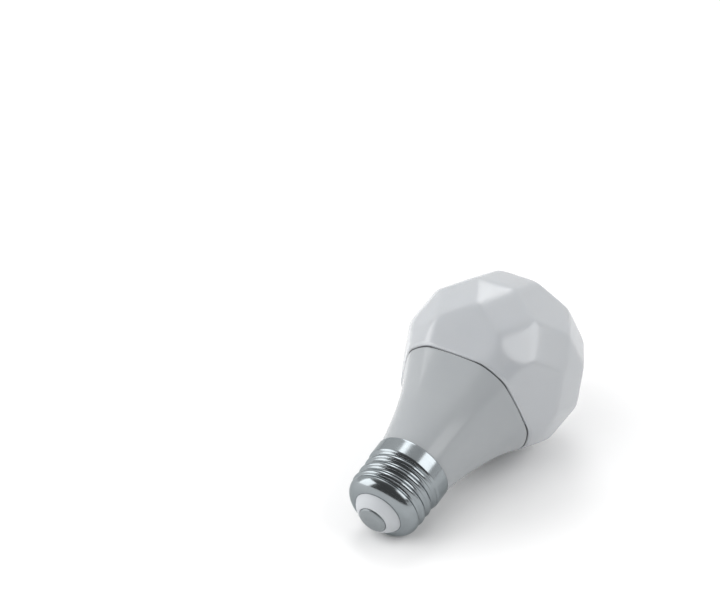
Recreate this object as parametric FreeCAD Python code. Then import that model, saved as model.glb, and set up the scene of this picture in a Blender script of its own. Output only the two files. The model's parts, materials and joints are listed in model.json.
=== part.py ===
import FreeCAD, Part
import math
import os

from FreeCAD import Placement, Rotation, Vector

# Smart LED light bulb with an E27 screw cap, a flared housing and a faceted diffuser.
# Every piece is drawn standing up in the bulb's own frame: z runs along the axis from the
# tip of the centre contact (z = 0) to the top of the diffuser, in millimetres. The bulb is
# then laid down the way it rests on a table, on one facet of the diffuser and on the screw
# thread, with the cap towards -Y, the diffuser towards +Y and the floor at z = 0.

# ---- driving dimensions -------------------------------------------------------------------
# screw cap, E27
contact_radius = 4.9
contact_flat_radius = 2.2
contact_dome_height = 0.9
contact_stud_radius = 1.5
contact_stud_top = 6.2
insulator_radius = 8.35
insulator_rim_z = 4.2
insulator_top_z = 6.6
insulator_flange_radius = 10.2
shell_hole_radius = 8.4
shell_round_radius = 4.2
shell_wall = 0.4
thread_crest_radius = 13.2
thread_pitch = 3.62
thread_half_width = 1.45
thread_start_z = 6.6
thread_end_z = 19.0
resting_crest = 2.0
band_radius = 13.5
band_bottom_z = 19.8
band_top_z = 25.4
# housing
neck_bottom_z = 12.0
neck_radius = 11.6
neck_wall = 1.4
horn_bottom_radius = 12.93
housing_wall = 1.5
seam_z = 57.6
seam_gap = 0.25
seam_step = 0.35
seam_corner_share = 0.75
horn_linear_share = 0.567
horn_power = 2.73
corner_power = 1.2
# diffuser: a rhombicosidodecahedron with rounded edges, cut off at the seam
facet_edge = 14.226
facet_centre_z = 76.7
edge_rounding = 4.0
diffuser_wall = 1.5
skirt_depth = 2.9
skirt_wall = 1.0
corner_strip_polar = 119.24
corner_strip_spread = 12.0
corner_strip_distance = 31.55
# lamp insides
cup_wall = 1.0
cup_top_z = 55.2
led_board_radius = 19.6
led_board_thick = 1.2
led_board_z = 55.5
driver_board_thick = 1.0
driver_board_z0 = 12.6
driver_board_z1 = 51.0
transformer_y = 5.4
radio_board_y = -8.2
radio_board_thick = 0.8

corners = 5
turn = 2.0 * math.pi
section_points = 70
corner_azimuth = math.pi / 2.0


# ---- faceted shape ------------------------------------------------------------------------
def facet_planes():
    """Outward normal and distance of each facet about the shape's centre. A family of facets
    repeats at every fifth of a turn and is given by its azimuth from a corner direction, its
    angle from the bulb's axis and its distance in facet edges."""
    circumradius = 2.23295
    pentagon = 2.06457
    square = math.sqrt(circumradius ** 2 - 1.0 / 2.0)
    triangle = math.sqrt(circumradius ** 2 - 1.0 / 3.0)
    families = [
        (0.0, 31.717, square),
        (36.0, 37.377, triangle),
        (0.0, 63.435, pentagon),
        (36.0, 58.283, square),
        (36.0, 79.188, triangle),
        (18.0, 90.0, square),
        (-18.0, 90.0, square),
        (0.0, 100.812, triangle),
        (36.0, 116.565, pentagon),
    ]
    for side in (-1, 0, 1):
        strip = corner_strip_distance / facet_edge
        families.append((side * corner_strip_spread, corner_strip_polar, strip))
    planes = [(Vector(0, 0, 1), pentagon * facet_edge)]
    for azimuth, polar, distance in families:
        for k in range(corners):
            across = corner_azimuth + math.radians(azimuth) + k * turn / corners
            down = math.radians(polar)
            normal = Vector(
                math.sin(down) * math.cos(across),
                math.sin(down) * math.sin(across),
                math.cos(down),
            )
            planes.append((normal, distance * facet_edge))
    return planes


def facet_core():
    """The faceted solid drawn in by the edge rounding, with its centre at the origin."""
    depth = facet_centre_z - seam_z + 8.0
    core = Part.makeBox(100, 100, 100 + depth, Vector(-50, -50, -depth))
    for normal, distance in facet_planes():
        beyond = Part.makeBox(200, 200, 100, Vector(-100, -100, 0))
        outward = Rotation(Vector(0, 0, 1), normal)
        beyond.Placement = Placement(normal * (distance - edge_rounding), outward)
        core = core.cut(beyond)
    return core


core_solid = facet_core()


def rounded_facets(inset):
    """The faceted solid with rounded edges; inset moves its whole surface inwards."""
    grown = core_solid.makeOffsetShape(edge_rounding - inset, 0.001, join=0)
    grown.translate(Vector(0, 0, facet_centre_z))
    return grown


diffuser_outside = rounded_facets(0.0)


def reach(azimuth):
    """Distance from the axis to the diffuser's surface at the seam, in one direction."""
    start = Vector(0, 0, seam_z)
    end = Vector(40 * math.cos(azimuth), 40 * math.sin(azimuth), seam_z)
    return Part.makeLine(start, end).common(diffuser_outside).Length


azimuths = [i * turn / section_points for i in range(section_points)]
seam_reach = [reach(a) for a in azimuths]
seam_mean = sum(seam_reach) / section_points


def housing_radii(z, inset=0.0):
    """Radii of the flared housing round one section: round at the cap, the diffuser's soft
    pentagon at the seam, a small step inside the diffuser's edge."""
    u = (z - band_top_z) / (seam_z - band_top_z)
    flare = horn_linear_share * u + (1.0 - horn_linear_share) * u ** horn_power
    mean = horn_bottom_radius + (seam_mean - seam_step - horn_bottom_radius) * flare
    corners_shown = seam_corner_share * u ** corner_power
    return [mean + (r - seam_mean) * corners_shown - inset for r in seam_reach]


# ---- helpers ------------------------------------------------------------------------------
def section(radii, z):
    """Closed smooth outline through one radius for each of the azimuths, as a wire."""
    points = [Vector(r * math.cos(a), r * math.sin(a), z) for r, a in zip(radii, azimuths)]
    curve = Part.BSplineCurve()
    curve.interpolate(Points=points, PeriodicFlag=True)
    return Part.Wire([curve.toShape()])


def housing_loft(heights, inset=0.0):
    return Part.makeLoft([section(housing_radii(z, inset), z) for z in heights], True, False)


def seam_tube(outer_inset, inner_inset, z0, z1):
    """Ring that follows the seam outline."""
    outer = Part.Face(section([r - outer_inset for r in seam_reach], z0))
    inner = Part.Face(section([r - inner_inset for r in seam_reach], z0))
    return outer.cut(inner).extrude(Vector(0, 0, z1 - z0))


def spread(z0, z1, count):
    return [z0 + (z1 - z0) * i / (count - 1) for i in range(count)]


def revolve(points):
    """Solid of revolution about z from (radius, z) points of a straight-sided outline."""
    corners_3d = [Vector(r, 0, z) for r, z in points]
    return spin(Part.makePolygon(corners_3d + [corners_3d[0]]))


def spin(outline):
    """Solid of revolution about z from a closed wire, with its faces pointing outwards."""
    solid = Part.Face(outline).revolve(Vector(0, 0, 0), Vector(0, 0, 1), 360)
    if solid.Volume < 0:
        solid.reverse()
    return solid


def cylinder(radius, z0, z1, x=0.0, y=0.0):
    return Part.makeCylinder(radius, z1 - z0, Vector(x, y, z0))


def box(x0, x1, y0, y1, z0, z1):
    return Part.makeBox(x1 - x0, y1 - y0, z1 - z0, Vector(x0, y0, z0))


def bent_wire(points, radius, bend):
    """Round wire along straight runs joined by tangent arcs."""
    corners_3d = [Vector(*p) for p in points]
    edges = []
    start = corners_3d[0]
    for before, here, after in zip(corners_3d, corners_3d[1:], corners_3d[2:]):
        way_in = (here - before).normalize()
        way_out = (after - here).normalize()
        angle = way_in.getAngle(way_out)
        cut = bend * math.tan(angle / 2.0)
        arc_start = here - way_in * cut
        arc_end = here + way_out * cut
        middle = (way_out - way_in).normalize()
        arc_middle = here + middle * (bend / math.cos(angle / 2.0) - bend)
        edges.append(Part.LineSegment(start, arc_start).toShape())
        edges.append(Part.Arc(arc_start, arc_middle, arc_end).toShape())
        start = arc_end
    edges.append(Part.LineSegment(start, corners_3d[-1]).toShape())
    path = Part.Wire(edges)
    direction = corners_3d[1] - corners_3d[0]
    profile = Part.Wire([Part.makeCircle(radius, corners_3d[0], direction)])
    return path.makePipeShell([profile], True, False)


# ---- how the bulb lies --------------------------------------------------------------------
def resting_tilt():
    """Tilt of the axis when a diffuser edge and a thread crest both touch the floor, and the
    height of the contact tip above the floor."""
    circumradius = 2.23295
    triangle = math.radians(100.812)
    strip = math.radians(corner_strip_polar)
    triangle_distance = math.sqrt(circumradius ** 2 - 1.0 / 3.0) * facet_edge - edge_rounding
    strip_distance = corner_strip_distance - edge_rounding
    # centre of the rounding between the lowest triangle and the corner strip
    det = math.sin(triangle) * math.cos(strip) - math.sin(strip) * math.cos(triangle)
    edge_r = (triangle_distance * math.cos(strip) - strip_distance * math.cos(triangle)) / det
    edge_z = (math.sin(triangle) * strip_distance - math.sin(strip) * triangle_distance) / det
    crest_z = thread_start_z + resting_crest
    across = edge_r - thread_crest_radius
    along = edge_z + facet_centre_z - crest_z
    tilt = math.atan2(across, along) + math.asin(edge_rounding / math.hypot(across, along))
    return tilt, thread_crest_radius * math.cos(tilt) - crest_z * math.sin(tilt)


tilt, tip_z = resting_tilt()
lie_down = Rotation(Vector(1, 0, 0), -(90.0 - math.degrees(tilt)))


def lay(shape, shift_y):
    """Turn a standing piece to where it lies when the bulb rests on the floor."""
    laid = shape.copy()
    laid.Placement = Placement(Vector(0, shift_y, tip_z), lie_down).multiply(laid.Placement)
    return laid


# ---- screw cap ----------------------------------------------------------------------------
def centre_contact():
    """Domed contact disc with the stud that passes through the insulator."""
    flat = Vector(contact_flat_radius, 0, 0)
    edge = Vector(contact_radius, 0, contact_dome_height)
    bulge = Vector((contact_flat_radius + contact_radius) / 2.0 + 0.55, 0, 0.28)
    back_z = contact_dome_height + 0.4
    outline = Part.Wire([
        Part.LineSegment(Vector(0, 0, 0), flat).toShape(),
        Part.Arc(flat, bulge, edge).toShape(),
        Part.LineSegment(edge, Vector(contact_radius, 0, back_z)).toShape(),
        Part.LineSegment(Vector(contact_radius, 0, back_z), Vector(0, 0, back_z)).toShape(),
        Part.LineSegment(Vector(0, 0, back_z), Vector(0, 0, 0)).toShape(),
    ])
    stud = cylinder(contact_stud_radius, back_z - 0.2, contact_stud_top)
    return spin(outline).fuse(stud).removeSplitter()


def cap_insulator():
    """Insulating button between the contact and the shell, held by a flange inside."""
    back_z = contact_dome_height + 0.4
    recess = contact_radius + 0.05
    return revolve([
        (contact_stud_radius, back_z),
        (recess, back_z),
        (recess, contact_dome_height + 0.1),
        (5.4, 1.15),
        (6.9, 2.2),
        (insulator_radius, insulator_rim_z),
        (insulator_radius, insulator_rim_z + 0.55),
        (insulator_flange_radius - 0.9, insulator_rim_z + 0.7),
        (insulator_flange_radius, insulator_rim_z + 1.15),
        (insulator_flange_radius, insulator_top_z),
        (contact_stud_radius, insulator_top_z - 0.6),
    ])


thread_root_radius = shell_hole_radius + shell_round_radius - 0.45


def screw_shell():
    """Thin threaded shell with a rounded end and a plain band at its mouth."""
    wall = shell_wall
    root = thread_root_radius
    z0 = insulator_rim_z
    z_side = z0 + shell_round_radius
    shoulder_z = band_bottom_z - 0.6
    width = root - shell_hole_radius
    diagonal = math.sqrt(0.5)
    round_out = Vector(shell_hole_radius + width * diagonal, 0, z_side - shell_round_radius * diagonal)
    round_in = round_out + Vector(-wall * diagonal, 0, wall * diagonal)
    side = [
        Vector(root, 0, z_side),
        Vector(root, 0, shoulder_z),
        Vector(band_radius, 0, band_bottom_z),
        Vector(band_radius, 0, band_top_z),
        Vector(band_radius - wall, 0, band_top_z),
        Vector(band_radius - wall, 0, band_bottom_z + 0.15),
        Vector(root - wall, 0, shoulder_z + 0.15),
        Vector(root - wall, 0, z_side),
    ]
    hole_out = Vector(shell_hole_radius, 0, z0)
    hole_in = Vector(shell_hole_radius, 0, z0 + wall)
    edges = [Part.Arc(hole_out, round_out, side[0]).toShape()]
    edges += [Part.LineSegment(a, b).toShape() for a, b in zip(side, side[1:])]
    edges.append(Part.Arc(side[-1], round_in, hole_in).toShape())
    edges.append(Part.LineSegment(hole_in, hole_out).toShape())
    return spin(Part.Wire(edges)).fuse(thread_ridge()).removeSplitter()


def thread_ridge():
    """Rounded helical ridge of the E27 thread, faded out at both ends."""
    base_r = thread_root_radius - 0.15
    half = thread_half_width
    helix = Part.makeHelix(thread_pitch, thread_end_z - thread_start_z, base_r)
    low = Vector(base_r, 0, -half)
    high = Vector(base_r, 0, half)
    crest = Vector(thread_crest_radius, 0, 0)
    profile = Part.Wire([Part.Arc(low, crest, high).toShape(), Part.LineSegment(high, low).toShape()])
    ridge = Part.Wire(helix.Edges).makePipeShell([profile], True, True)
    # one crest passes under the bulb where it rests on the floor
    phase = math.degrees(corner_azimuth) - 360.0 * resting_crest / thread_pitch
    ridge.Placement = Placement(Vector(0, 0, thread_start_z), Rotation(Vector(0, 0, 1), phase))
    fade = 1.6
    full_r = thread_crest_radius + 0.05
    envelope = revolve([
        (base_r - 0.1, thread_start_z - 0.6),
        (base_r + 0.05, thread_start_z - 0.6),
        (full_r, thread_start_z + fade),
        (full_r, thread_end_z - fade),
        (base_r + 0.05, thread_end_z + 0.1),
        (base_r - 0.1, thread_end_z + 0.1),
    ])
    return ridge.common(envelope)


# ---- housing and diffuser -----------------------------------------------------------------
def housing_shell():
    """Moulded flared housing with the neck that the cap is pressed onto."""
    rim_z = seam_z - seam_gap
    horn = housing_loft(spread(band_top_z, rim_z, 10))
    neck = cylinder(neck_radius, neck_bottom_z, band_top_z)
    collar = cylinder(band_radius - shell_wall - 0.05, band_bottom_z + 0.3, band_top_z)
    body = horn.fuse([neck, collar]).removeSplitter()
    hollow_top = housing_loft(spread(band_top_z + 1.0, rim_z, 10), housing_wall)
    hollow_neck = cylinder(neck_radius - neck_wall, neck_bottom_z, band_top_z + 1.5)
    return body.cut(hollow_top).cut(hollow_neck)


def diffuser_dome():
    """Faceted translucent diffuser with a snap-in skirt."""
    shell = diffuser_outside.cut(rounded_facets(diffuser_wall))
    below = Part.makeBox(100, 100, 100, Vector(-50, -50, seam_z - 100))
    skirt_outer = housing_wall + 0.15
    skirt_inner = skirt_outer + skirt_wall
    heights = spread(seam_z - skirt_depth, seam_z, 4)
    skirt = housing_loft(heights, skirt_outer).cut(housing_loft(heights, skirt_inner))
    ledge = seam_tube(0.8, skirt_inner + seam_step, seam_z, seam_z + 1.0)
    return shell.cut(below).fuse([ledge, skirt]).removeSplitter()


def dome_seal():
    """Bead of silicone between the housing rim and the diffuser."""
    return seam_tube(0.85, 1.45, seam_z - seam_gap, seam_z)


# ---- light engine -------------------------------------------------------------------------
def heat_sink_cup():
    """Drawn aluminium cup that takes the heat from the LED board to the housing."""
    wall = cup_wall
    side = [(11.4, 31.5), (13.9, 41.0), (16.6, 49.0), (18.3, 53.0), (19.4, cup_top_z)]
    inside = [(r - wall, z) for r, z in side[:-1]]
    last = (side[-1][0] - wall - 0.4, cup_top_z - wall)
    body = revolve(side + [(0.0, cup_top_z), (0.0, cup_top_z - wall), last] + inside[::-1])
    cuts = [
        box(-8.6, 8.6, radio_board_y - 0.9, radio_board_y + 0.9, 50.0, 56.0),
        box(-6.6, 6.6, 2.4, 5.2, 50.0, 56.0),
    ]
    cuts += [cylinder(1.25, 50.0, 56.0, x) for x in (-14.0, 14.0)]
    return body.cut(cuts)


def thermal_pad():
    """Thin heat-conducting pad between the cup and the LED board."""
    pad = cylinder(18.6, cup_top_z, led_board_z)
    cuts = [
        box(-8.8, 8.8, radio_board_y - 1.1, radio_board_y + 1.1, 50.0, 56.0),
        box(-6.8, 6.8, 2.2, 5.4, 50.0, 56.0),
    ]
    cuts += [cylinder(1.6, 50.0, 56.0, x) for x in (-14.0, 14.0)]
    return pad.cut(cuts)


def led_board():
    """Round metal-core circuit board."""
    top = led_board_z + led_board_thick
    board = cylinder(led_board_radius, led_board_z, top)
    cuts = [box(-8.4, 8.4, radio_board_y - 0.6, radio_board_y + 0.6, 55.0, 57.5)]
    cuts += [cylinder(0.55, 55.0, 57.5, x, 3.8) for x in header_pin_places()]
    cuts += [cylinder(1.35, 55.0, 57.5, x) for x in (-14.0, 14.0)]
    return board.cut(cuts)


def led_chips(azimuths, ring_radius, size, height):
    """Square LED packages on a ring of the board, each with a sunken face."""
    top = led_board_z + led_board_thick
    chips = []
    for azimuth in azimuths:
        half = size / 2.0
        body = box(-half, half, -half, half, top, top + height)
        window = cylinder(half * 0.72, top + height - 0.15, top + height + 1.0)
        chip = body.cut(window)
        chip.Placement = Placement(
            Vector(
                ring_radius * math.cos(math.radians(azimuth)),
                ring_radius * math.sin(math.radians(azimuth)),
                0,
            ),
            Rotation(Vector(0, 0, 1), azimuth),
        )
        chips.append(chip)
    return Part.makeCompound(chips)


def board_screws():
    """Two pan-head screws that hold the LED board on the cup."""
    top = led_board_z + led_board_thick
    screws = []
    for x in (-14.0, 14.0):
        head = cylinder(2.3, top, top + 1.5, x)
        shank = cylinder(1.2, top - 4.6, top + 0.4, x)
        slot_long = box(x - 1.3, x + 1.3, -0.25, 0.25, top + 0.8, top + 2.0)
        slot_short = box(x - 0.25, x + 0.25, -1.3, 1.3, top + 0.8, top + 2.0)
        screws.append(head.fuse(shank).removeSplitter().cut([slot_long, slot_short]))
    return Part.makeCompound(screws)


# ---- driver -------------------------------------------------------------------------------
def insulating_sleeve():
    """Plastic liner that keeps the driver clear of the aluminium cup."""
    side = [(10.0, 31.9), (12.4, 41.0), (15.1, 49.0), (16.6, 52.6)]
    inside = [(r - 0.5, z) for r, z in side]
    return revolve(side + inside[::-1])


def driver_board():
    """Upright circuit board that stands in the neck and widens in the cup."""
    half = driver_board_thick / 2.0
    outline = [
        (-9.0, driver_board_z0),
        (9.0, driver_board_z0),
        (9.0, 34.5),
        (11.2, 40.0),
        (11.2, driver_board_z1),
        (-11.2, driver_board_z1),
        (-11.2, 40.0),
        (-9.0, 34.5),
    ]
    points = [Vector(x, -half, z) for x, z in outline]
    face = Part.Face(Part.makePolygon(points + [points[0]]))
    return face.extrude(Vector(0, driver_board_thick, 0))


board_front = driver_board_thick / 2.0


def transformer_core():
    """Ferrite core: a frame of two side limbs and two yokes around a centre limb."""
    frame = box(-5.0, 5.0, transformer_y - 2.8, transformer_y + 2.8, 36.5, 46.5)
    windows = []
    for side in (-1, 1):
        x0, x1 = sorted((side * 1.4, side * 3.7))
        windows.append(box(x0, x1, transformer_y - 3.0, transformer_y + 3.0, 38.0, 45.0))
    return frame.cut(windows)


def transformer_bobbin():
    """Moulded bobbin around the core's centre limb, with a flange at each end."""
    y = transformer_y
    tube = box(-2.1, 2.1, y - 3.5, y + 3.5, 38.1, 44.9)
    flanges = [box(-3.5, 3.5, y - 4.2, y + 4.2, z, z + 0.7) for z in (38.1, 44.2)]
    limb = box(-1.45, 1.45, y - 2.85, y + 2.85, 38.0, 45.0)
    return tube.fuse(flanges).removeSplitter().cut(limb)


def transformer_winding():
    """Copper winding between the bobbin's flanges."""
    y = transformer_y
    outer = box(-3.3, 3.3, y - 4.1, y + 4.1, 38.85, 44.15)
    edges = [e for e in outer.Edges if abs(e.tangentAt(0).z) > 0.9]
    rounded = outer.makeFillet(0.9, edges)
    return rounded.cut(box(-2.15, 2.15, y - 3.55, y + 3.55, 38.0, 45.0))


def can_capacitor(x, y, z0, radius, length):
    """Aluminium can of an electrolytic capacitor, with its crimp groove and vent cross."""
    can = cylinder(radius, z0, z0 + length, x, y)
    ends = [e for e in can.Edges if abs(e.Length - turn * radius) < 0.01]
    can = can.makeFillet(0.5, ends)
    groove = Part.makeTorus(radius + 0.25, 0.5, Vector(x, y, z0 + 1.6))
    vents = [
        box(x - radius * 0.6, x + radius * 0.6, y - 0.15, y + 0.15, z0 + length - 0.2, z0 + length + 1),
        box(x - 0.15, x + 0.15, y - radius * 0.6, y + radius * 0.6, z0 + length - 0.2, z0 + length + 1),
    ]
    return can.cut([groove] + vents)


def film_capacitor():
    body = box(1.2, 7.0, board_front + 0.1, board_front + 4.6, 15.0, 24.5)
    return body.makeFillet(0.5, body.Edges)


def fusible_resistor():
    """Resistor in a heat-shrink sleeve, lying along the back of the driver board."""
    x = 4.0
    y = -board_front - 2.0
    body = cylinder(1.7, 16.0, 25.0, x, y)
    ends = [e for e in body.Edges if abs(e.Length - turn * 1.7) < 0.01]
    body = body.makeFillet(0.6, ends)
    pins = []
    for z_end, z_body in ((14.8, 16.2), (26.2, 24.8)):
        pins.append(cylinder(0.35, min(z_end, z_body), max(z_end, z_body), x, y))
        pins.append(Part.makeCylinder(0.35, -board_front - y, Vector(x, y, z_end), Vector(0, 1, 0)))
        pins.append(Part.makeSphere(0.35, Vector(x, y, z_end)))
    return body.fuse(pins).removeSplitter()


def bridge_rectifier():
    body = box(-7.4, -2.6, -board_front - 1.7, -board_front - 0.1, 27.5, 31.3)
    legs = []
    for x in (-6.6, -4.0):
        for z in (26.7, 31.2):
            legs.append(box(x, x + 0.7, -board_front - 0.6, -board_front, z, z + 0.9))
    return body.fuse(legs).removeSplitter()


def driver_chip():
    """Eight-pin regulator on the back of the driver board."""
    body = box(-2.5, 2.5, -board_front - 1.6, -board_front - 0.1, 34.0, 38.0)
    legs = []
    for k in range(4):
        x = -2.1 + k * 1.27
        legs.append(box(x, x + 0.4, -board_front - 0.6, -board_front, 33.0, 34.2))
        legs.append(box(x, x + 0.4, -board_front - 0.6, -board_front, 37.8, 39.0))
    return body.fuse(legs).removeSplitter()


def header_pin_places():
    return [-5.08 + k * 2.54 for k in range(5)]


def pin_header():
    """Plastic strip that carries the pins up to the LED board."""
    strip = box(-6.2, 6.2, board_front, 5.05, 47.3, 49.8)
    return strip.cut([cylinder(0.4, 47.0, 50.0, x, 3.8) for x in header_pin_places()])


def header_pins():
    pins = []
    for x in header_pin_places():
        pins.append(cylinder(0.4, 46.8, 57.6, x, 3.8))
    return Part.makeCompound(pins)


def radio_board():
    """Upright radio module whose antenna end stands above the LED board."""
    half = radio_board_thick / 2.0
    y = radio_board_y
    return box(-8.0, 8.0, y - half, y + half, 42.0, 66.0)


def radio_shield():
    """Pressed metal can over the radio circuits."""
    y1 = radio_board_y - radio_board_thick / 2.0
    outer = box(-5.0, 5.0, y1 - 1.5, y1, 43.0, 52.4)
    edges = [e for e in outer.Edges if e.BoundBox.YLength < 0.01 and e.BoundBox.YMin < y1 - 1.0]
    outer = outer.makeFillet(0.4, edges)
    return outer.cut(box(-4.7, 4.7, y1 - 1.2, y1, 43.3, 52.1))


def radio_chip():
    y1 = radio_board_y - radio_board_thick / 2.0
    return box(-2.6, 2.6, y1 - 0.9, y1, 45.0, 50.2)


def antenna_trace():
    """Folded copper track at the top of the radio board."""
    y0 = radio_board_y + radio_board_thick / 2.0
    low = 60.2
    high = 65.2
    width = 0.6
    step = 1.9
    folds = 7
    first = -6.3
    track = [box(first, first + width, y0, y0 + 0.08, 57.6, high)]
    for k in range(folds):
        x = first + k * step
        z = high - width if k % 2 == 0 else low
        track.append(box(x, x + step + width, y0, y0 + 0.08, z, z + width))
        if k < folds - 1:
            track.append(box(x + step, x + step + width, y0, y0 + 0.08, low, high))
    return track[0].fuse(track[1:]).removeSplitter()


# ---- wiring to the cap --------------------------------------------------------------------
def live_lead():
    """Sleeved wire from the driver board down to the centre contact."""
    z = contact_stud_top + 1.2
    return bent_wire([(3.0, 1.3, 14.4), (3.0, 1.3, 11.4), (0.0, 0.0, 9.4), (0.0, 0.0, z)], 0.65, 1.3)


def live_solder():
    """Solder cone on the contact's stud."""
    z = contact_stud_top
    return revolve([(0.0, z), (1.4, z), (1.3, z + 0.5), (0.8, z + 1.2), (0.0, z + 1.2)])


def neutral_lead():
    """Sleeved wire from the driver board out to the wall of the screw shell."""
    return bent_wire([(-6.0, 1.3, 15.0), (-6.0, 1.3, 9.6), (-10.2, 1.3, 8.9)], 0.65, 1.3)


def neutral_solder():
    """Solder drop that joins the neutral wire to the shell."""
    drop = Part.makeSphere(1.2, Vector(-10.9, 1.3, 8.9))
    inside = cylinder(thread_root_radius - shell_wall, 7.6, 11.8)
    wire = Part.makeCylinder(0.65, 4.2, Vector(-6.0, 1.3, 9.6), Vector(-4.2, 0, -0.7))
    return drop.common(inside).cut(wire)


# ---- write every piece --------------------------------------------------------------------
def main():
    os.makedirs("parts", exist_ok=True)
    warm = [k * 36.0 for k in range(10)]
    cool = [18.0 + k * 36.0 for k in range(10)]
    pieces = {
        "centre_contact": centre_contact(),
        "cap_insulator": cap_insulator(),
        "screw_shell": screw_shell(),
        "housing_shell": housing_shell(),
        "diffuser_dome": diffuser_dome(),
        "dome_seal": dome_seal(),
        "heat_sink_cup": heat_sink_cup(),
        "thermal_pad": thermal_pad(),
        "led_board": led_board(),
        "warm_white_leds": led_chips(warm, 17.2, 2.8, 0.8),
        "cool_white_leds": led_chips(cool, 12.0, 2.8, 0.8),
        "colour_leds": led_chips([90.0, 190.0, 350.0], 8.1, 4.0, 1.4),
        "board_screws": board_screws(),
        "insulating_sleeve": insulating_sleeve(),
        "driver_board": driver_board(),
        "transformer_core": transformer_core(),
        "transformer_bobbin": transformer_bobbin(),
        "transformer_winding": transformer_winding(),
        "input_capacitor": can_capacitor(-4.3, board_front + 3.3, 17.0, 3.15, 12.0),
        "output_capacitor": can_capacitor(7.0, -board_front - 2.6, 40.5, 2.5, 9.5),
        "film_capacitor": film_capacitor(),
        "fusible_resistor": fusible_resistor(),
        "bridge_rectifier": bridge_rectifier(),
        "driver_chip": driver_chip(),
        "pin_header": pin_header(),
        "header_pins": header_pins(),
        "radio_board": radio_board(),
        "radio_shield": radio_shield(),
        "radio_chip": radio_chip(),
        "antenna_trace": antenna_trace(),
        "live_lead": live_lead(),
        "live_solder": live_solder(),
        "neutral_lead": neutral_lead(),
        "neutral_solder": neutral_solder(),
    }
    lowest_y = lay(pieces["screw_shell"], 0.0).BoundBox.YMin
    contact_y = lay(pieces["centre_contact"], 0.0).BoundBox.YMin
    highest_y = lay(pieces["diffuser_dome"], 0.0).BoundBox.YMax
    shift_y = -(min(lowest_y, contact_y) + highest_y) / 2.0
    print("tilt", round(math.degrees(tilt), 4), "tip z", round(tip_z, 4), "shift y", round(shift_y, 4))
    for name, shape in pieces.items():
        laid = lay(shape, shift_y)
        print(name, laid.isValid(), len(laid.Solids), round(laid.Volume, 1))
        laid.exportStep("parts/" + name + ".step")


main()
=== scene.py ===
import json
import math

import bpy
import numpy as np
from mathutils import Matrix, Vector


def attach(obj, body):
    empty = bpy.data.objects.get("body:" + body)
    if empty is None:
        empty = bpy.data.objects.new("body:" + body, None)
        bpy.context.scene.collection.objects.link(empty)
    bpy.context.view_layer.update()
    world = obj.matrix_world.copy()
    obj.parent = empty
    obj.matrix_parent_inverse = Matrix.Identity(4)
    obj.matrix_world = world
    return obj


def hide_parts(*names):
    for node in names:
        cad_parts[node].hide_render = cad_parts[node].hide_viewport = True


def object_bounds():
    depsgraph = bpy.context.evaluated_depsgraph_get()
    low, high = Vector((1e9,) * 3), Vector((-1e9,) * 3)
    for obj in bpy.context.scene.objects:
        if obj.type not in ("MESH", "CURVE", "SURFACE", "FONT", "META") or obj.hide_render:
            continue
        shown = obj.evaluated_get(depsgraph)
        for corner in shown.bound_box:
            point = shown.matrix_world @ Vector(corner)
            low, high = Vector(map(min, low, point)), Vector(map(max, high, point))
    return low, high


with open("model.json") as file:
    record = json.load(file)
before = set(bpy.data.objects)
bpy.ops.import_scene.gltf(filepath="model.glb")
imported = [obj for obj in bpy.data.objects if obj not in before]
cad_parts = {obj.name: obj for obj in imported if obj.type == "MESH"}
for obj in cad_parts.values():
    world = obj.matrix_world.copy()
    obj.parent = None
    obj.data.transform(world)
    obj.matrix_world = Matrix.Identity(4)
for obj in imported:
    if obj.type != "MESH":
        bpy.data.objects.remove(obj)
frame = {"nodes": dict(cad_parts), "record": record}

cad_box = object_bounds()

# ---- sizes, in millimetres in the bulb's own frame ------------------------------------------
# z runs along the bulb's axis from the tip of the centre contact; azimuth 0 is local +X, and
# one corner of the pentagonal seam points along local +Y, which is down when the bulb lies
MM = 0.001
CORNERS = 5
CORNER_AZIMUTH = math.pi / 2
TURN = 2 * math.pi

FACET_EDGE = 14.226
FACET_CENTRE_Z = 76.7
EDGE_SHARPNESS = 3.0
CONE_ANGLE = math.radians(29.24)
CONE_DISTANCE = 31.55
DIFFUSER_WALL = 1.5

SEAM_Z = 57.6
SEAM_GAP = 0.25
SEAM_STEP = 0.35
SEAM_CORNER_SHARE = 0.75
HOUSING_BASE_Z = 25.4
HOUSING_BASE_R = 12.93
HOUSING_WALL = 1.5
HORN_LINEAR_SHARE = 0.567
HORN_POWER = 2.73
CORNER_POWER = 1.2
NECK_R = 11.6
NECK_WALL = 1.4
NECK_BOTTOM_Z = 12.0

SHELL_HOLE_R = 8.4
SHELL_END_Z = 4.2
SHELL_ROUND_R = 4.2
SHELL_BEAD_R = 12.85
SHELL_WALL = 0.4
THREAD_CREST_R = 13.15
THREAD_HALF_DEPTH = 0.55
THREAD_PITCH = 3.62
THREAD_ARC_R = ((THREAD_PITCH / 4) ** 2 + THREAD_HALF_DEPTH ** 2) / (2 * THREAD_HALF_DEPTH)
THREAD_FIRST_CREST = 8.6
GROOVE_START_Z = 7.8
GROOVE_END_Z = 19.7
GROOVE_FADE_IN = 1.5
GROOVE_FADE_OUT = 1.4
BAND_R = 13.5
BAND_BOTTOM_Z = 19.8
BAND_TOP_Z = 25.4

CONTACT_R = 4.9
CONTACT_RIM_Z = 0.9
INSULATOR_R = 8.38

# ---- where the bulb lies --------------------------------------------------------------------
mounts = {m["name"]: m for m in frame["record"]["mounts"]}
tip = Vector(mounts["contact_face"]["pos_m"])
axis = -Vector(mounts["contact_face"]["axis"]).normalized()
TILT = math.asin(axis.z)
down = Vector((0, axis.z, -axis.y))
PLACE = Matrix.Translation(tip) @ Matrix((
    (1, 0, 0, 0),
    (0, down.y, axis.y, 0),
    (0, down.z, axis.z, 0),
    (0, 0, 0, 1),
)) @ Matrix.Scale(MM, 4)


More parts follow.
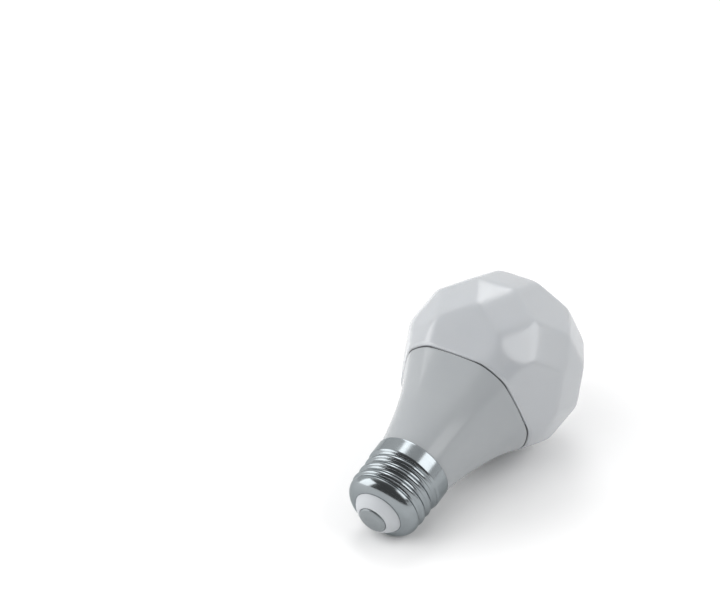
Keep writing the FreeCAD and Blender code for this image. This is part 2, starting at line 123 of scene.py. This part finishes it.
# ---- shape formulas -------------------------------------------------------------------------
def facet_planes():
    """Normals and distances of the faceted solid about its centre: a rhombicosidodecahedron
    with its lower facets run on to the seam."""
    circumradius = 2.23295
    pentagon = 2.06457
    square = math.sqrt(circumradius ** 2 - 1 / 2)
    triangle = math.sqrt(circumradius ** 2 - 1 / 3)
    families = (
        (0, 31.717, square),
        (36, 37.377, triangle),
        (0, 63.435, pentagon),
        (36, 58.283, square),
        (36, 79.188, triangle),
        (18, 90, square),
        (-18, 90, square),
        (0, 100.812, triangle),
        (36, 116.565, pentagon),
    )
    normals = [(0.0, 0.0, 1.0)]
    distances = [pentagon * FACET_EDGE]
    for azimuth, polar, distance in families:
        for k in range(CORNERS):
            across = CORNER_AZIMUTH + math.radians(azimuth) + k * TURN / CORNERS
            below = math.radians(polar)
            side = math.sin(below)
            normals.append((side * math.cos(across), side * math.sin(across), math.cos(below)))
            distances.append(distance * FACET_EDGE)
    return np.array(normals), np.array(distances)


NORMALS, DISTANCES = facet_planes()


def soft_surface(start, way, inset=0.0):
    """Distance along each ray to the softened faceted surface: the level where the summed
    exponentials of all facet heights equal one, found by Newton's method."""
    newton_steps = 10
    heights = start @ NORMALS.T - DISTANCES
    slopes = way @ NORMALS.T
    cone_height = np.hypot(start[:, 0], start[:, 1]) * math.cos(CONE_ANGLE)
    cone_height = cone_height - start[:, 2] * math.sin(CONE_ANGLE) - CONE_DISTANCE
    cone_slope = np.hypot(way[:, 0], way[:, 1]) * math.cos(CONE_ANGLE)
    cone_slope = cone_slope - way[:, 2] * math.sin(CONE_ANGLE)
    heights = np.column_stack([heights, cone_height]) + inset
    slopes = np.column_stack([slopes, cone_slope])
    reach = np.where(slopes > 1e-6, -heights / np.maximum(slopes, 1e-6), np.inf).min(axis=1)
    for _ in range(newton_steps):
        scaled = EDGE_SHARPNESS * (heights + slopes * reach[:, None])
        peak = scaled.max(axis=1)
        weights = np.exp(scaled - peak[:, None])
        total = weights.sum(axis=1)
        value = (np.log(total) + peak) / EDGE_SHARPNESS
        reach = reach - value / ((weights * slopes).sum(axis=1) / total)
    return reach


def level_radii(z, azimuths, inset=0.0):
    """Radii of the diffuser's horizontal section at a height."""
    start = np.column_stack([np.zeros_like(azimuths), np.zeros_like(azimuths),
                             np.full_like(azimuths, z - FACET_CENTRE_Z)])
    way = np.column_stack([np.cos(azimuths), np.sin(azimuths), np.zeros_like(azimuths)])
    return soft_surface(start, way, inset)


def circle(count):
    return np.arange(count) * TURN / count


def ring(radii, z, azimuths):
    """Points of one ring, from a radius (or radii) and a height (or heights)."""
    radii = np.broadcast_to(radii, azimuths.shape)
    heights = np.broadcast_to(z, azimuths.shape)
    return np.column_stack([radii * np.cos(azimuths), radii * np.sin(azimuths), heights])


def smooth_step(x):
    x = np.clip(x, 0, 1)
    return x * x * (3 - 2 * x)


# ---- mesh building --------------------------------------------------------------------------
def lathe(name, rings, first_pole=None, last_pole=None, closed=False):
    """Closed skin over a list of equal rings. It ends in a pole point at either end, or with
    closed=True the last ring joins the first."""
    count = len(rings[0])
    points = [tuple(p) for r in rings for p in r]
    faces = []
    steps = len(rings) if closed else len(rings) - 1
    for j in range(steps):
        a = j * count
        b = ((j + 1) % len(rings)) * count
        for i in range(count):
            k = (i + 1) % count
            faces.append((a + i, a + k, b + k, b + i))
    if first_pole is not None:
        points.append(tuple(first_pole))
        faces += [(len(points) - 1, (i + 1) % count, i) for i in range(count)]
    if last_pole is not None:
        points.append(tuple(last_pole))
        a = (len(rings) - 1) * count
        faces += [(len(points) - 1, a + i, a + (i + 1) % count) for i in range(count)]
    mesh = bpy.data.meshes.new(name)
    mesh.from_pydata(points, [], faces)
    mesh.transform(PLACE)
    mesh.validate()
    mesh.shade_smooth()
    piece = bpy.data.objects.new(name, mesh)
    bpy.context.scene.collection.objects.link(piece)
    return piece


def profile_rings(points, azimuths):
    """Rings of a round piece from (radius, z) points."""
    return [ring(r, z, azimuths) for r, z in points]


def arc(centre, radius, start, end, steps):
    """Points of an arc in the (radius, z) plane, angles in degrees."""
    angles = np.radians(np.linspace(start, end, steps))
    return [(centre[0] + radius * math.cos(a), centre[1] + radius * math.sin(a)) for a in angles]


def line(a, b, steps):
    """Points from a to b in the (radius, z) plane, without the last."""
    return [(a[0] + (b[0] - a[0]) * t, a[1] + (b[1] - a[1]) * t) for t in np.arange(steps) / steps]


# ---- materials ------------------------------------------------------------------------------
class Shade:
    """One material with the small node helpers that every finish here uses."""

    def __init__(self, name, colour, roughness, metallic=0.0, **sockets):
        self.material = bpy.data.materials.new(name)
        self.material.use_nodes = True
        self.tree = self.material.node_tree
        self.shader = self.tree.nodes["Principled BSDF"]
        self.shader.inputs["Metallic"].default_value = metallic
        for socket, value in sockets.items():
            self.shader.inputs[socket.replace("_", " ")].default_value = value
        self.colour = colour
        self.roughness = roughness
        coords = self.tree.nodes.new("ShaderNodeTexCoord")
        turned = self.tree.nodes.new("ShaderNodeMapping")
        turned.inputs["Rotation"].default_value = (math.pi / 2 - TILT, 0, 0)
        self.link(coords.outputs["Object"], turned.inputs["Vector"])
        self.bulb_coords = turned.outputs["Vector"]

    def link(self, a, b):
        self.tree.links.new(a, b)

    def stretched(self, x, y, z):
        """Bulb coordinates scaled to features of the given sizes in millimetres."""
        scaled = self.tree.nodes.new("ShaderNodeMapping")
        scaled.inputs["Scale"].default_value = (1 / (x * MM), 1 / (y * MM), 1 / (z * MM))
        self.link(self.bulb_coords, scaled.inputs["Vector"])
        return scaled.outputs["Vector"]

    def noise(self, size, detail=3.0, rough=0.55, stretch=(1, 1, 1)):
        node = self.tree.nodes.new("ShaderNodeTexNoise")
        node.inputs["Scale"].default_value = 1.0
        node.inputs["Detail"].default_value = detail
        node.inputs["Roughness"].default_value = rough
        vector = self.stretched(size * stretch[0], size * stretch[1], size * stretch[2])
        self.link(vector, node.inputs["Vector"])
        return node.outputs["Fac"]

    def ramp(self, value, low, high, out_low=0.0, out_high=1.0):
        node = self.tree.nodes.new("ShaderNodeMapRange")
        node.inputs["From Min"].default_value = low
        node.inputs["From Max"].default_value = high
        node.inputs["To Min"].default_value = out_low
        node.inputs["To Max"].default_value = out_high
        self.link(value, node.inputs["Value"])
        return node.outputs["Result"]

    def mix(self, factor, a, b):
        node = self.tree.nodes.new("ShaderNodeMix")
        node.data_type = "RGBA"
        self.link(factor, node.inputs["Factor"])
        for socket, value in (("A", a), ("B", b)):
            target = [s for s in node.inputs if s.name == socket and s.type == "RGBA"][0]
            if isinstance(value, bpy.types.NodeSocket):
                self.link(value, target)
            else:
                target.default_value = (*value, 1)
        return [s for s in node.outputs if s.type == "RGBA"][0]

    def paint(self, factor, tint, strength=1.0):
        """Colour that drifts from the base towards a tint."""
        scaled = self.ramp(factor, 0, 1, 0, strength)
        self.colour = self.mix(scaled, self.colour, tint)

    def bump(self, height, distance, strength=1.0, under=None):
        node = self.tree.nodes.new("ShaderNodeBump")
        node.inputs["Distance"].default_value = distance * MM
        node.inputs["Strength"].default_value = strength
        self.link(height, node.inputs["Height"])
        if under is not None:
            self.link(under, node.inputs["Normal"])
        return node.outputs["Normal"]

    def finish(self, roughness=None, normal=None):
        target = self.shader.inputs["Base Color"]
        if isinstance(self.colour, bpy.types.NodeSocket):
            self.link(self.colour, target)
        else:
            target.default_value = (*self.colour, 1)
        if roughness is None:
            self.shader.inputs["Roughness"].default_value = self.roughness
        else:
            self.link(roughness, self.shader.inputs["Roughness"])
        if normal is not None:
            self.link(normal, self.shader.inputs["Normal"])
        return self.material


def moulded(name, colour, tint, roughness, grain=0.18, depth=0.004, **sockets):
    """Moulded plastic: cloudy colour, uneven gloss and a fine sparked grain."""
    s = Shade(name, colour, roughness, **sockets)
    s.paint(s.ramp(s.noise(14.0), 0.35, 0.65), tint, 0.6)
    cloud = s.noise(5.0, 4.0)
    rough = s.ramp(cloud, 0.3, 0.7, roughness - 0.04, roughness + 0.05)
    normal = s.bump(s.noise(grain, 2.0, 0.6), depth)
    return s.finish(rough, normal)


def rolled_metal(name, colour, tint, roughness, brush=0.35, depth=0.0012, **sockets):
    """Plated sheet: turned lines round the axis, tarnish clouds and a little uneven gloss."""
    s = Shade(name, colour, roughness, metallic=1.0, **sockets)
    lines = s.noise(brush, 4.0, 0.65, (40, 40, 0.35))
    s.paint(s.ramp(s.noise(4.0, 5.0), 0.4, 0.75), tint, 0.7)
    rough = s.ramp(lines, 0.3, 0.7, roughness - 0.05, roughness + 0.07)
    normal = s.bump(lines, depth)
    return s.finish(rough, normal)


def circuit_board(name, colour, tint):
    s = Shade(name, colour, 0.4)
    s.paint(s.ramp(s.noise(1.2, 2.0), 0.48, 0.52), tint, 0.8)
    normal = s.bump(s.noise(0.6, 2.0), 0.02)
    return s.finish(None, normal)


def phosphor(name, colour, tint):
    s = Shade(name, colour, 0.35)
    s.paint(s.ramp(s.noise(0.5, 4.0), 0.3, 0.7), tint)
    return s.finish(None, s.bump(s.noise(0.2), 0.01))


def inner_materials():
    """Finishes of the pieces inside the shells, by material slot."""
    steel = rolled_metal("zinc_steel", (0.55, 0.55, 0.56), (0.40, 0.40, 0.42), 0.35)
    black = moulded("black_moulding", (0.02, 0.02, 0.022), (0.035, 0.035, 0.035), 0.5)
    gold = rolled_metal("gold_plate", (0.83, 0.60, 0.25), (0.70, 0.48, 0.20), 0.3)
    solder = rolled_metal("solder_tin", (0.60, 0.61, 0.62), (0.45, 0.45, 0.46), 0.35)
    return {
        "seal": moulded("silicone", (0.10, 0.105, 0.11), (0.07, 0.07, 0.075), 0.55),
        "aluminium": rolled_metal("drawn_aluminium", (0.72, 0.73, 0.74), (0.60, 0.61, 0.62), 0.42),
        "thermal_pad": moulded("thermal_silicone", (0.27, 0.30, 0.34), (0.22, 0.24, 0.27), 0.6),
        "white_board": circuit_board("white_mask", (0.82, 0.82, 0.80), (0.78, 0.78, 0.76)),
        "led_warm": phosphor("warm_phosphor", (0.85, 0.58, 0.14), (0.80, 0.50, 0.10)),
        "led_cool": phosphor("cool_phosphor", (0.86, 0.80, 0.38), (0.82, 0.74, 0.30)),
        "led_colour": phosphor("clear_window", (0.80, 0.80, 0.78), (0.70, 0.72, 0.74)),
        "steel": steel,
        "liner": moulded("natural_liner", (0.78, 0.77, 0.73), (0.72, 0.71, 0.66), 0.45),
        "green_board": circuit_board("green_mask", (0.012, 0.09, 0.03), (0.02, 0.13, 0.05)),
        "ferrite": moulded("ferrite", (0.03, 0.03, 0.032), (0.05, 0.05, 0.05), 0.65),
        "bobbin": black,
        "winding": moulded("winding_tape", (0.70, 0.48, 0.04), (0.62, 0.40, 0.03), 0.35),
        "capacitor_sleeve": moulded("sleeve", (0.015, 0.016, 0.025), (0.03, 0.03, 0.04), 0.3),
        "film_block": moulded("film_epoxy", (0.33, 0.02, 0.012), (0.26, 0.015, 0.01), 0.3),
        "resistor_sleeve": moulded("lacquer", (0.02, 0.06, 0.04), (0.03, 0.08, 0.05), 0.35),
        "black_chip": black,
        "gold_pin": gold,
        "blue_board": circuit_board("blue_mask", (0.01, 0.025, 0.09), (0.015, 0.04, 0.13)),
        "lead_brown": moulded("brown_sleeve", (0.12, 0.035, 0.012), (0.10, 0.03, 0.01), 0.4),
        "lead_blue": moulded("blue_sleeve", (0.015, 0.05, 0.22), (0.012, 0.04, 0.18), 0.4),
        "solder": solder,
    }


def diffuser_material():
    """Milky polycarbonate: light scatters inside it, and the skin is satin."""
    s = Shade(
        "milky_polycarbonate",
        (0.418, 0.434, 0.453),
        0.23,
        Subsurface_Weight=0.22,
        Subsurface_Radius=(1.0, 0.9, 0.8),
        Subsurface_Scale=0.004,
        Specular_IOR_Level=0.9,
    )
    s.paint(s.ramp(s.noise(22.0, 3.0), 0.35, 0.65), (0.407, 0.423, 0.444), 0.8)
    rough = s.ramp(s.noise(6.0, 4.0), 0.3, 0.7, 0.20, 0.26)
    fine = s.bump(s.noise(0.22, 2.0, 0.6), 0.003)
    return s.finish(rough, s.bump(s.noise(9.0, 2.0), 0.02, 0.6, fine))


def housing_material():
    return moulded(
        "grey_housing",
        (0.338, 0.354, 0.366),
        (0.32, 0.337, 0.352),
        0.21,
        grain=0.16,
        depth=0.0012,
        Specular_IOR_Level=0.47,
    )


def insulator_material():
    return moulded("pale_insulator", (0.49, 0.51, 0.53), (0.465, 0.485, 0.51), 0.5, grain=0.4)


def cap_material():
    edge = (0.70, 0.72, 0.73, 1)
    return rolled_metal(
        "nickel_shell", (0.29, 0.316, 0.33), (0.262, 0.286, 0.30), 0.17, Specular_Tint=edge
    )


def contact_material():
    return rolled_metal("nickel_contact", (0.295, 0.318, 0.33), (0.265, 0.288, 0.30), 0.45)


# ---- pieces ---------------------------------------------------------------------------------
def diffuser():
    """Faceted shell: outside from the top to the seam, a lip rounded down to the housing, the
    snap-in skirt and the inside back to the top."""
    around = circle(240)
    seam_r = level_radii(SEAM_Z, around)
    seam_h = SEAM_Z - FACET_CENTRE_Z

    def surface_rings(edge_r, edge_h, inset, count):
        rings = []
        edge_polar = np.arctan2(edge_r, edge_h)
        for j in range(1, count + 1):
            polar = edge_polar * j / count
            way = np.column_stack([
                np.sin(polar) * np.cos(around),
                np.sin(polar) * np.sin(around),
                np.cos(polar),
            ])
            start = np.zeros_like(way)
            reach = soft_surface(start, way, inset)
            rings.append(way * reach[:, None] + np.array([0, 0, FACET_CENTRE_Z]))
        return rings

    step = SEAM_STEP + (1 - SEAM_CORNER_SHARE) * (seam_r - seam_r.mean())
    lip = 0.05 + 0.8 * step
    lip_r = level_radii(SEAM_Z + lip, around)
    outside = surface_rings(lip_r, seam_h + lip, 0.0, 130)
    turn_in = []
    for a in np.radians((15, 30, 45, 60, 75, 90)):
        drop = lip * (1 - math.cos(a))
        turn_in.append(ring(seam_r - drop, SEAM_Z + lip * (1 - math.sin(a)), around))
    skirt_out = SEAM_STEP + HOUSING_WALL + 0.15
    skirt_in = skirt_out + 1.0
    skirt_taper = 1.7
    skirt_bottom_z = SEAM_Z - 2.9
    skirt = [
        ring(seam_r - SEAM_STEP - 0.9, SEAM_Z, around),
        ring(seam_r - skirt_out, SEAM_Z, around),
        ring(seam_r - skirt_out - skirt_taper, skirt_bottom_z, around),
        ring(seam_r - skirt_in - skirt_taper, skirt_bottom_z, around),
        ring(seam_r - skirt_in, SEAM_Z, around),
        ring(seam_r - skirt_in, SEAM_Z + 0.6, around),
    ]
    inner_z = SEAM_Z + 1.0
    inner_r = level_radii(inner_z, around, DIFFUSER_WALL)
    inside = surface_rings(inner_r, inner_z - FACET_CENTRE_Z, DIFFUSER_WALL, 60)[::-1]
    top = FACET_CENTRE_Z + DISTANCES[0]
    piece = lathe(
        "diffuser",
        outside + turn_in + skirt + inside,
        first_pole=(0, 0, top),
        last_pole=(0, 0, top - DIFFUSER_WALL),
    )
    piece.data.materials.append(diffuser_material())
    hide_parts("diffuser_dome")
    return piece


def housing():
    """Flared shell, round at the cap and a soft pentagon at the seam, with a rounded rim."""
    around = circle(200)
    seam_r = level_radii(SEAM_Z, around)
    seam_mean = seam_r.mean()

    def radii(z, inset=0.0):
        u = (z - HOUSING_BASE_Z) / (SEAM_Z - HOUSING_BASE_Z)
        flare = HORN_LINEAR_SHARE * u + (1 - HORN_LINEAR_SHARE) * u ** HORN_POWER
        mean = HOUSING_BASE_R + (seam_mean - SEAM_STEP - HOUSING_BASE_R) * flare
        return mean + (seam_r - seam_mean) * SEAM_CORNER_SHARE * u ** CORNER_POWER - inset

    rim_z = SEAM_Z - SEAM_GAP
    fillet = 0.55
    collar_z = BAND_BOTTOM_Z + 0.3
    rings = profile_rings([
        (NECK_R - NECK_WALL, NECK_BOTTOM_Z),
        (NECK_R, NECK_BOTTOM_Z),
        (NECK_R, collar_z),
        (HOUSING_BASE_R, collar_z),
    ], around)
    for z in np.linspace(HOUSING_BASE_Z, rim_z - fillet, 70):
        rings.append(ring(radii(z), z, around))
    for a in np.radians((15, 30, 45, 60, 75, 90)):
        inset = fillet * (1 - math.cos(a))
        z = rim_z - fillet + fillet * math.sin(a)
        rings.append(ring(radii(z) - inset, z, around))
    rings.append(ring(radii(rim_z, HOUSING_WALL), rim_z, around))
    for z in np.linspace(rim_z - 1.0, HOUSING_BASE_Z + 1.5, 24):
        rings.append(ring(radii(z, HOUSING_WALL), z, around))
    rings.append(ring(NECK_R - NECK_WALL, HOUSING_BASE_Z + 1.0, around))
    piece = lathe("housing", rings, closed=True)
    piece.data.materials.append(housing_material())
    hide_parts("housing_shell")
    return piece


def groove_depth(azimuths, z):
    """Depth of the rolled thread's groove below its crest: equal arcs for crest and root,
    faded out at both ends."""
    phase = (z - THREAD_FIRST_CREST) / THREAD_PITCH - (azimuths - CORNER_AZIMUTH) / TURN
    from_crest = np.abs((phase + 0.5) % 1 - 0.5) * THREAD_PITCH
    on_crest = from_crest < THREAD_PITCH / 4
    from_peak = np.where(on_crest, from_crest, THREAD_PITCH / 2 - from_crest)
    drop = THREAD_ARC_R - np.sqrt(THREAD_ARC_R ** 2 - from_peak ** 2)
    depth = np.where(on_crest, drop, 2 * THREAD_HALF_DEPTH - drop)
    fade_in = smooth_step((z - GROOVE_START_Z) / GROOVE_FADE_IN)
    fade_out = smooth_step((GROOVE_END_Z - z) / GROOVE_FADE_OUT)
    return depth * fade_in * fade_out


def screw_cap():
    """Thin shell with a rounded end, a rolled round thread and a plain band."""
    around = circle(288)
    side_z = SHELL_END_Z + SHELL_ROUND_R
    rings = []
    for a in np.radians(np.linspace(-90, 0, 40)):
        r = SHELL_HOLE_R + (SHELL_BEAD_R - SHELL_HOLE_R) * math.cos(a)
        z = side_z + SHELL_ROUND_R * math.sin(a)
        rings.append(ring(r - groove_depth(around, z), z, around))
    shoulder_z = BAND_BOTTOM_Z - 0.5
    widening = THREAD_CREST_R - SHELL_BEAD_R
    for z in np.linspace(side_z, shoulder_z, 150)[1:]:
        r = SHELL_BEAD_R + widening * smooth_step((z - side_z) / 1.2)
        rings.append(ring(r - groove_depth(around, z), z, around))
    rise = BAND_R - THREAD_CREST_R
    for t in np.linspace(0.12, 1, 9):
        r = THREAD_CREST_R + rise * smooth_step(t)
        rings.append(ring(r, shoulder_z + 0.7 * t, around))
    lip = 0.15
    lip_z = BAND_TOP_Z - lip
    rings += profile_rings(line((BAND_R, BAND_BOTTOM_Z + 0.5), (BAND_R, lip_z), 12), around)
    rings += profile_rings(arc((BAND_R - lip, lip_z), lip, 0, 180, 7), around)
    wall_r = BAND_R - SHELL_WALL
    rings += profile_rings([(wall_r, BAND_TOP_Z - 0.3), (wall_r, BAND_BOTTOM_Z + 0.6)], around)
    inner_r = THREAD_CREST_R - 2 * THREAD_HALF_DEPTH - SHELL_WALL
    rings += profile_rings([(inner_r, BAND_BOTTOM_Z - 0.4), (inner_r, side_z)], around)
    for a in np.radians(np.linspace(0, -90, 10))[1:]:
        r = SHELL_HOLE_R + (inner_r - SHELL_HOLE_R) * math.cos(a)
        rings.append(ring(r, side_z + (SHELL_ROUND_R - SHELL_WALL) * math.sin(a), around))
    piece = lathe("screw_cap", rings, closed=True)
    piece.data.materials.append(cap_material())
    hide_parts("screw_shell")
    return piece


def insulator():
    """Button between the contact and the shell, dished towards its rim."""
    around = circle(160)
    outline = [(1.5, 6.0), (1.5, 1.3), (CONTACT_R + 0.05, 1.3)]
    outline += arc((CONTACT_R + 0.25, 1.15), 0.2, 180, 300, 6)
    outline += [(5.9, 1.3), (6.6, 1.85), (7.2, 2.5), (7.75, 3.2), (8.2, 3.95), (8.34, 4.2)]
    outline += [(INSULATOR_R, 4.35), (INSULATOR_R, 4.75), (9.3, 4.9), (10.2, 5.35), (10.2, 6.6)]
    piece = lathe("insulator", profile_rings(outline, around), closed=True)
    piece.data.materials.append(insulator_material())
    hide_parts("cap_insulator")
    return piece


def contact():
    """Slightly domed contact disc with its stud."""
    around = circle(120)
    outline = [(1.0, 0.01), (2.0, 0.05), (3.0, 0.13), (3.8, 0.24), (4.35, 0.36), (4.65, 0.48)]
    outline += [(4.83, 0.66), (CONTACT_R, CONTACT_RIM_Z), (CONTACT_R, 1.3), (1.5, 1.3)]
    outline += [(1.5, 6.2)]
    piece = lathe(
        "contact",
        profile_rings(outline, around),
        first_pole=(0, 0, 0),
        last_pole=(0, 0, 6.2),
    )
    piece.data.materials.append(contact_material())
    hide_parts("centre_contact")
    return piece


# ---- camera, light and floor ----------------------------------------------------------------
CAMERA_AZIMUTH = math.radians(33.60)
CAMERA_ELEVATION = math.radians(31.11)
CONTACT_IN_VIEW = Vector((3.99, -70.98, 895.04)) * MM
LIGHT_DISTANCE = 1.2
SURROUND_DARK = 0.13


def make_camera():
    """Camera at the photograph's angle, placed from where it sees the rim of the contact."""
    a = CAMERA_AZIMUTH
    e = CAMERA_ELEVATION
    view = Vector((-math.sin(a) * math.cos(e), math.cos(a) * math.cos(e), -math.sin(e)))
    right = Vector((math.cos(a), math.sin(a), 0))
    up = right.cross(view)
    seen = PLACE @ Vector((0, 0, CONTACT_RIM_Z))
    where = seen - right * CONTACT_IN_VIEW.x - up * CONTACT_IN_VIEW.y - view * CONTACT_IN_VIEW.z
    data = bpy.data.cameras.new("camera")
    data.lens = 140
    data.sensor_width = 36
    data.clip_start = 0.01
    camera = bpy.data.objects.new("camera", data)
    turned = Matrix((right, up, -view)).transposed().to_4x4()
    camera.matrix_world = Matrix.Translation(where) @ turned
    bpy.context.scene.collection.objects.link(camera)
    bpy.context.scene.camera = camera


def make_floor():
    mesh = bpy.data.meshes.new("floor")
    half = 6.0
    corners = [(-half, -half, 0), (half, -half, 0), (half, half, 0), (-half, half, 0)]
    mesh.from_pydata(corners, [], [(0, 1, 2, 3)])
    floor = bpy.data.objects.new("floor", mesh)
    bpy.context.scene.collection.objects.link(floor)
    s = Shade("floor_paper", (0.90, 0.90, 0.90), 0.75)
    s.paint(s.ramp(s.noise(60.0), 0.3, 0.7), (0.885, 0.885, 0.885))
    mesh.materials.append(s.finish(None, s.bump(s.noise(1.0), 0.002)))


def softbox(name, direction, size, radiance):
    """Rectangular light that faces the bulb from a direction, unseen by the camera itself."""
    data = bpy.data.lights.new(name, "AREA")
    data.shape = "RECTANGLE"
    data.size = size[0]
    data.size_y = size[1]
    data.energy = radiance * math.pi * size[0] * size[1]
    light = bpy.data.objects.new(name, data)
    middle = (Vector(cad_box[0]) + Vector(cad_box[1])) / 2
    light.location = middle + direction * LIGHT_DISTANCE
    light.rotation_mode = "QUATERNION"
    light.rotation_quaternion = direction.to_track_quat("Z", "Y")
    light.visible_camera = False
    bpy.context.scene.collection.objects.link(light)
    return light


def make_world(ahead):
    """Surround: a white backdrop behind the bulb, dark behind the camera and overhead. The
    camera itself sees an even pale backdrop."""
    world = bpy.data.worlds.new("surround")
    bpy.context.scene.world = world
    world.use_nodes = True
    nodes = world.node_tree.nodes
    links = world.node_tree.links
    coords = nodes.new("ShaderNodeTexCoord")
    facing = nodes.new("ShaderNodeVectorMath")
    facing.operation = "DOT_PRODUCT"
    facing.inputs[1].default_value = ahead
    links.new(coords.outputs["Generated"], facing.inputs[0])
    backdrop = nodes.new("ShaderNodeMapRange")
    backdrop.interpolation_type = "SMOOTHSTEP"
    backdrop.inputs["From Min"].default_value = -0.25
    backdrop.inputs["From Max"].default_value = 0.3
    backdrop.inputs["To Max"].default_value = 0.85
    links.new(facing.outputs["Value"], backdrop.inputs["Value"])
    height = nodes.new("ShaderNodeSeparateXYZ")
    links.new(coords.outputs["Generated"], height.inputs[0])
    overhead = nodes.new("ShaderNodeMapRange")
    overhead.interpolation_type = "SMOOTHSTEP"
    overhead.inputs["From Min"].default_value = 0.75
    overhead.inputs["From Max"].default_value = 0.95
    overhead.inputs["To Min"].default_value = 1.0
    overhead.inputs["To Max"].default_value = 0.8
    links.new(height.outputs["Z"], overhead.inputs["Value"])
    shade = nodes.new("ShaderNodeMath")
    shade.operation = "MULTIPLY_ADD"
    links.new(backdrop.outputs["Result"], shade.inputs[0])
    links.new(overhead.outputs["Result"], shade.inputs[1])
    shade.inputs[2].default_value = SURROUND_DARK
    seen = nodes.new("ShaderNodeLightPath")
    mixed = nodes.new("ShaderNodeMix")
    mixed.data_type = "FLOAT"
    links.new(seen.outputs["Is Camera Ray"], mixed.inputs["Factor"])
    links.new(shade.outputs["Value"], mixed.inputs["A"])
    mixed.inputs["B"].default_value = 0.95
    links.new(mixed.outputs["Result"], nodes["Background"].inputs["Strength"])
    nodes["Background"].inputs["Color"].default_value = (1, 1, 1, 1)


def make_light():
    """Softboxes low on the left, higher on the right with a dim one under it, and a small one
    high at the back; then two fills that leave no reflection, and the surround."""
    def toward(azimuth, elevation):
        a = CAMERA_AZIMUTH - math.radians(azimuth)
        e = math.radians(elevation)
        return Vector((-math.sin(a) * math.cos(e), math.cos(a) * math.cos(e), math.sin(e)))

    softbox("left_box", toward(-91, 20), (0.82, 0.92), 2.75)
    softbox("right_box", toward(113, 40), (0.92, 0.72), 2.45)
    softbox("low_right", toward(122, 3), (0.75, 0.42), 0.75)
    softbox("back_box", toward(-3, 54), (0.46, 0.80), 2.6)
    for name, azimuth, elevation, radiance in (
        ("fill_front", -140, 45, 2.4),
        ("fill_left", -60, 48, 0.2),
    ):
        fill = softbox(name, toward(azimuth, elevation), (1.0, 1.0), radiance)
        fill.visible_glossy = False
    make_world(toward(14, 0))


def main():
    make_camera()
    make_floor()
    make_light()
    for piece in (diffuser(), housing(), screw_cap(), insulator(), contact()):
        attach(piece, "root")
    finishes = inner_materials()
    slots = {s["node"]: s["material_slot"] for s in frame["record"]["subparts"]}
    for node, piece in frame["nodes"].items():
        if slots[node] in finishes:
            piece.data.materials.clear()
            piece.data.materials.append(finishes[slots[node]])
    bpy.context.scene.view_settings.view_transform = "Standard"


main()
